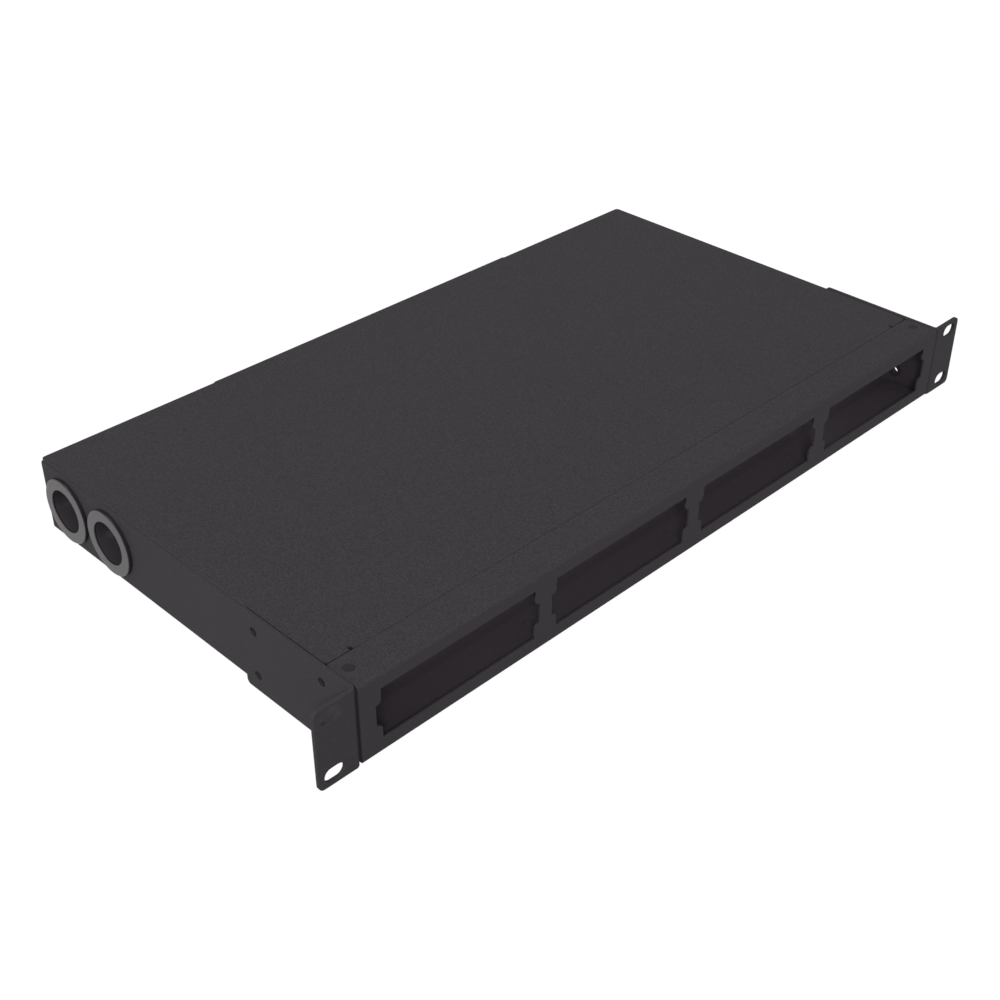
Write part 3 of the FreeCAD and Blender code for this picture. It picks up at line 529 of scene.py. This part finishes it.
def buildRearPanel(r):
    arc = r["bend"] * math.pi / 2
    fold = r["top"] - r["bend"]
    end = fold + arc + r["flange"] - r["bend"]
    reliefOut = r["flangeHalf"] + r["relief"]
    right = [
        (r["half"], r["under"]), (r["half"], r["top"], r["topRound"]), (reliefOut, r["top"]),
        (reliefOut, fold - r["relief"]), (r["flangeHalf"], fold - r["relief"]),
        (r["flangeHalf"], end, r["flangeRound"]),
    ]
    loops = [cornerLoop(mirrorLoop(right))]
    loops += [circleLoop(x, z, r["rivetHole"], steps=32) for x, z in places["rearRivets"]]
    loops += [circleLoop(x, z, r["nutHole"], steps=32) for x, z in places["coverScrews"]]
    bm = makePlate(loops, r["sheet"], r["softEdge"])
    foldPlate(bm, [(1, fold, r["bend"], 1, r["flangeHalf"] + r["clear"])])
    addPiece("rearWall", bm, powderCoat, "panel", ["rear_panel"],
             lambda p: Vector((p.x, r["rear"] - p.z, p.y)))


buildRearPanel(rearPanel)


bracket = {
    "sheet": 2.0, "bend": 3.0, "softEdge": 0.22,
    "inside": 218.0, "tip": 241.3, "front": 0.2, "rear": 77.4, "halfHeight": 21.75,
    "earRound": 3.0, "rearRound": 2.5, "roundSteps": 8, "screwHole": 4.5,
    "slotX": 232.55, "slotZ": 15.875, "slotLength": 11.0, "slotHeight": 7.3,
}


def buildBracket(b, side, name, node):
    arc = b["bend"] * math.pi / 2
    fold = b["rear"] - b["front"] - b["bend"]
    end = fold + arc + b["tip"] - b["inside"] - b["bend"]
    high = b["halfHeight"]
    loops = [cornerLoop([(0, -high, b["rearRound"]), (end, -high, b["earRound"]),
                         (end, high, b["earRound"]), (0, high, b["rearRound"])], b["roundSteps"])]
    onEar = fold + arc + b["slotX"] - b["inside"] - b["bend"]
    loops += [slotLoop(onEar, z, b["slotLength"], b["slotHeight"]) for z in (-b["slotZ"], b["slotZ"])]
    loops += [circleLoop(b["rear"] - y, z, b["screwHole"], steps=36) for y, z in places["bracketHoles"]]
    bm = makePlate(loops, b["sheet"], b["softEdge"])
    foldPlate(bm, [(0, fold, b["bend"], 1, allAcross)])
    addPiece(name, bm, powderCoat, "panel", [node],
             lambda p: Vector((side * (b["inside"] + p.z), b["rear"] - p.x, p.y)))


buildBracket(bracket, -1, "bracketLeft", "rack_bracket_left")
buildBracket(bracket, 1, "bracketRight", "rack_bracket_right")


# turned pieces have their radii and depths
rivet = {
    "disc": 2.7, "discDepth": 1.2, "discRound": 0.25, "shank": 1.6, "grip": 2.45,
    "head": 2.5, "headHeight": 0.4, "headRound": 0.3, "hiddenRound": 0.05, "steps": 36,
}


def buildRivets(r):
    # corners as (depth, radius), with the flush disc at depth 0
    tip = r["grip"] + r["headHeight"]
    profile = [(0, 0), (0, r["disc"], r["discRound"]), (r["discDepth"], r["disc"], r["hiddenRound"]),
               (r["discDepth"], r["shank"]), (r["grip"], r["shank"]),
               (r["grip"], r["head"], r["hiddenRound"]), (tip, r["head"], r["headRound"]), (tip, 0)]
    high = frontFrame["halfHeight"]
    down = Matrix.Rotation(math.pi, 4, "X")
    bm = bmesh.new()
    for x, y in places["topRivets"]:
        turnProfile(bm, profile, Matrix.Translation((x, y, high)) @ down, r["steps"])
    for x, y in places["floorRivets"]:
        turnProfile(bm, profile, Matrix.Translation((x, y, -high)), r["steps"])
    piece = addPiece("frameRivets", bm, rivetCoat, "panel",
                     ["front_frame_rivets"])
    inside = high - 0.95  # past the discs' rims
    # the rivets' tails inside the tray take the same painted shade coat
    coatInsideWithShadeTint(piece, frontFrame["half"], -inside, inside)
    forward = Matrix.Rotation(math.pi / 2, 4, "X")
    bm = bmesh.new()
    for x, z in places["rearRivets"]:
        turnProfile(bm, profile, Matrix.Translation((x, rearPanel["rear"], z)) @ forward, r["steps"])
    addPiece("rearRivets", bm, rivetCoat, "panel", ["rear_panel_rivets"])


buildRivets(rivet)


bushing = {
    "face": -220.05, "flange": 2.1, "rim": 17.7, "rimRound": 0.4, "rimRearRound": 0.15,
    "bore": 11.7, "mouthRound": 0.35, "mouthEnd": 1.0, "length": 14.0,
    "tube": 14.1, "tipRound": 0.5, "boreEndRound": 0.4,
    "thread": 1.5, "threadDepth": 0.35, "threadStart": 1.3, "threadStop": 0.6,
    "steps": 96, "arcSteps": 5,
}


def buildBushing(b, name, node, y, z):
    # corners as (depth, radius), with the flange's face at depth 0
    profile = [(0, b["bore"], b["mouthRound"]), (0, b["rim"], b["rimRound"]),
               (b["flange"], b["rim"], b["rimRearRound"]), (b["flange"], b["tube"])]
    along = b["flange"] + b["threadStart"]
    while along + b["thread"] < b["length"] - b["threadStop"]:  # the thread that the ring nut runs on
        profile += [(along, b["tube"]), (along + b["thread"] / 2, b["tube"] - b["threadDepth"])]
        along += b["thread"]
    profile += [(along, b["tube"]), (b["length"], b["tube"], b["tipRound"]),
                (b["length"], b["bore"], b["boreEndRound"]), (b["mouthEnd"], b["bore"])]
    bm = bmesh.new()
    inward = Matrix.Translation((b["face"], y, z)) @ Matrix.Rotation(math.pi / 2, 4, "Y")
    turnProfile(bm, profile, inward, b["steps"], b["arcSteps"])
    piece = addPiece(name, bm, bushingPlastic, "panel", [node])
    piece.data.materials.append(boreSkin)
    skinStart = (b["face"] + b["mouthEnd"]) * mm
    skinRadius = (b["bore"] + 0.05) * mm  # takes in the bore's faces and no others
    for face in piece.data.polygons:
        fromAxis = math.hypot(face.center.y - (y + faceY) * mm, face.center.z - z * mm)
        if face.center.x > skinStart and fromAxis < skinRadius:
            face.material_index = 1


ringNut = {
    "face": -216.65, "depth": 4.5, "softEdge": 0.35, "outer": 33.8, "inner": 28.3,
    "notch": 4.0, "notchDepth": 1.6, "notches": 8, "rimSteps": 7,
}


def buildRingNut(n, name, node, y, z):
    outer = []
    radius = n["outer"] / 2
    floor = radius - n["notchDepth"]
    half = math.asin(n["notch"] / 2 / radius)
    for k in range(n["notches"]):
        start = k * math.tau / n["notches"]
        for a in (start - half, start + half):  # into the notch and out again
            level = [radius, floor] if a < start else [floor, radius]
            outer += [Vector((r * math.cos(a), r * math.sin(a))) for r in level]
        step = (math.tau / n["notches"] - 2 * half) / n["rimSteps"]
        outer += [Vector((radius * math.cos(start + half + step * m),
                          radius * math.sin(start + half + step * m)))
                  for m in range(1, n["rimSteps"])]
    bm = makePlate([outer, circleLoop(0, 0, n["inner"], steps=64)], n["depth"], n["softEdge"])
    addPiece(name, bm, bushingPlastic, "panel", [node],
             lambda p: Vector((n["face"] + p.z, y + p.x, z + p.y)))


for end, (y, z) in zip(("front", "rear"), places["entries"]):
    buildBushing(bushing, "bushing" + end.capitalize(), "cable_bushing_" + end, y, z)
    buildRingNut(ringNut, "ringNut" + end.capitalize(), "bushing_nut_" + end, y, z)


def addSeenRays(tree):
    # 1 for rays that show the background itself: to the camera, in a gloss or through glass
    rays = addNode(tree, "ShaderNodeLightPath")
    first = addNode(tree, "ShaderNodeMath",
                    {0: rays.outputs["Is Camera Ray"], 1: rays.outputs["Is Glossy Ray"]},
                    {"operation": "MAXIMUM"})
    both = addNode(tree, "ShaderNodeMath",
                   {0: first.outputs[0], 1: rays.outputs["Is Transmission Ray"]},
                   {"operation": "MAXIMUM"})
    return both.outputs[0]


# The floor's height is in millimetres and its size in metres. Its glow is the share of plain white
# that shows in place of lit paper.
studio = {
    "floorZ": -21.75, "floorSize": 8.0, "paper": "#767676", "floorGlow": 0.7, "floorWhite": 1.38,
    "worldLight": 0.46, "white": (1, 1, 1, 1),
}


def buildStudio(s):
    bm = bmesh.new()
    bmesh.ops.create_grid(bm, x_segments=8, y_segments=8, size=s["floorSize"] / 2)
    bm.transform(Matrix.Translation((0, 0, s["floorZ"] * mm)))
    mesh = bpy.data.meshes.new("floor")
    bm.to_mesh(mesh)
    bm.free()
    floor = bpy.data.objects.new("floor", mesh)
    scene.collection.objects.link(floor)
    # Matt white paper sweep: it shows as plain white and keeps a faint part of the panel's shadow.
    material, tree = newMaterial("whitePaperSweep")
    seen = addSeenRays(tree)
    paper = addNode(tree, "ShaderNodeBsdfDiffuse", {"Color": hexColour(s["paper"])})
    glow = addNode(tree, "ShaderNodeEmission", {"Color": s["white"], "Strength": s["floorWhite"]})
    share = addNode(tree, "ShaderNodeMath", {0: seen, 1: s["floorGlow"]}, {"operation": "MULTIPLY"})
    both = addNode(tree, "ShaderNodeMixShader",
                   {0: share.outputs[0], 1: paper.outputs[0], 2: glow.outputs[0]})
    addNode(tree, "ShaderNodeOutputMaterial", {"Surface": both.outputs[0]})
    mesh.materials.append(material)

    world = bpy.data.worlds.new("whiteStudio")
    world.use_nodes = True
    tree = world.node_tree
    tree.nodes.clear()
    seen = addSeenRays(tree)
    dim = addNode(tree, "ShaderNodeBackground",
                  {"Color": s["white"], "Strength": s["worldLight"]})
    full = addNode(tree, "ShaderNodeBackground", {"Color": s["white"], "Strength": 1.0})
    both = addNode(tree, "ShaderNodeMixShader",
                   {0: seen, 1: dim.outputs[0], 2: full.outputs[0]})
    addNode(tree, "ShaderNodeOutputWorld", {"Surface": both.outputs[0]})
    scene.world = world


buildStudio(studio)

# Soft boxes: where each stands and what it is aimed at, its width and height in metres, its power
# in watts and whether it shows. The two small ones inside the tray light the bays.
lamps = {
    "topSoftBox": {"at": (-0.2, 0.4, 1.7), "size": (1.8, 1.4), "power": 8.7},
    "leftSoftBox": {"at": (-1.8, 0.1, 0.5), "size": (1.4, 0.9), "power": 14.5},
    "frontSoftBox": {"at": (0.6, -2.2, 0.35), "size": (2.6, 0.6), "power": 14.4},
    "cameraSoftBox": {"at": (-1.75, -1.75, 1.7), "size": (0.6, 0.4), "power": 46.0, "seen": False},
    "rearSoftBox": {"at": (0.9, 2.2, 0.35), "size": (1.4, 0.5), "power": 20.0, "seen": False},
    "baySoftBox": {"at": (0.01, 0.0405, 0.016), "aim": (0.01, 0.0405, -1), "size": (0.41, 0.083),
                   "power": 0.051, "seen": False},
    "bayEndSoftBox": {"at": (0.12, 0.03, 0.002), "aim": (1, 0.03, 0.002), "size": (0.06, 0.02),
                      "power": 0.004, "seen": False},
}
panelMiddle = (0, 0.1, 0)
for name, lamp in lamps.items():
    light = bpy.data.lights.new(name, "AREA")
    light.shape = "RECTANGLE"
    light.size, light.size_y = lamp["size"]
    light.energy = lamp["power"]
    holder = bpy.data.objects.new(name, light)
    holder.visible_camera = holder.visible_glossy = lamp.get("seen", True)
    aim = Vector(lamp.get("aim", panelMiddle)) - Vector(lamp["at"])
    turn = aim.to_track_quat("-Z", "Y").to_matrix().to_4x4()
    holder.matrix_world = Matrix.Translation(lamp["at"]) @ turn
    scene.collection.objects.link(holder)
print("studio ready")

# the camera that was fitted to the photograph: metres, degrees, and millimetres for lens and sensor
picture = {
    "at": (-0.5048, -0.3734, 0.43285), "azimuth": -44.81, "elevation": 34.39, "roll": -0.09,
    "lens": 54.56, "sensor": 36.0,
}


def buildCamera(p):
    azimuth = math.radians(p["azimuth"])
    elevation = math.radians(p["elevation"])
    roll = math.radians(p["roll"])
    level = math.cos(elevation)
    back = Vector((math.sin(azimuth) * level, -math.cos(azimuth) * level, math.sin(elevation)))
    right = (-back).cross(Vector((0, 0, 1))).normalized()
    up = right.cross(-back)
    # the picture's own right and up, turned by the roll
    across = right * math.cos(roll) + up * math.sin(roll)
    upright = up * math.cos(roll) - right * math.sin(roll)
    data = bpy.data.cameras.new("pictureCamera")
    data.lens = p["lens"]
    data.sensor_width = p["sensor"]
    data.clip_start = 0.01
    camera = bpy.data.objects.new("pictureCamera", data)
    turn = Matrix((across, upright, back)).transposed().to_4x4()
    camera.matrix_world = Matrix.Translation(p["at"]) @ turn
    scene.collection.objects.link(camera)
    scene.camera = camera


buildCamera(picture)
scene.view_settings.view_transform = "Standard"  # plain sRGB, as in the photograph
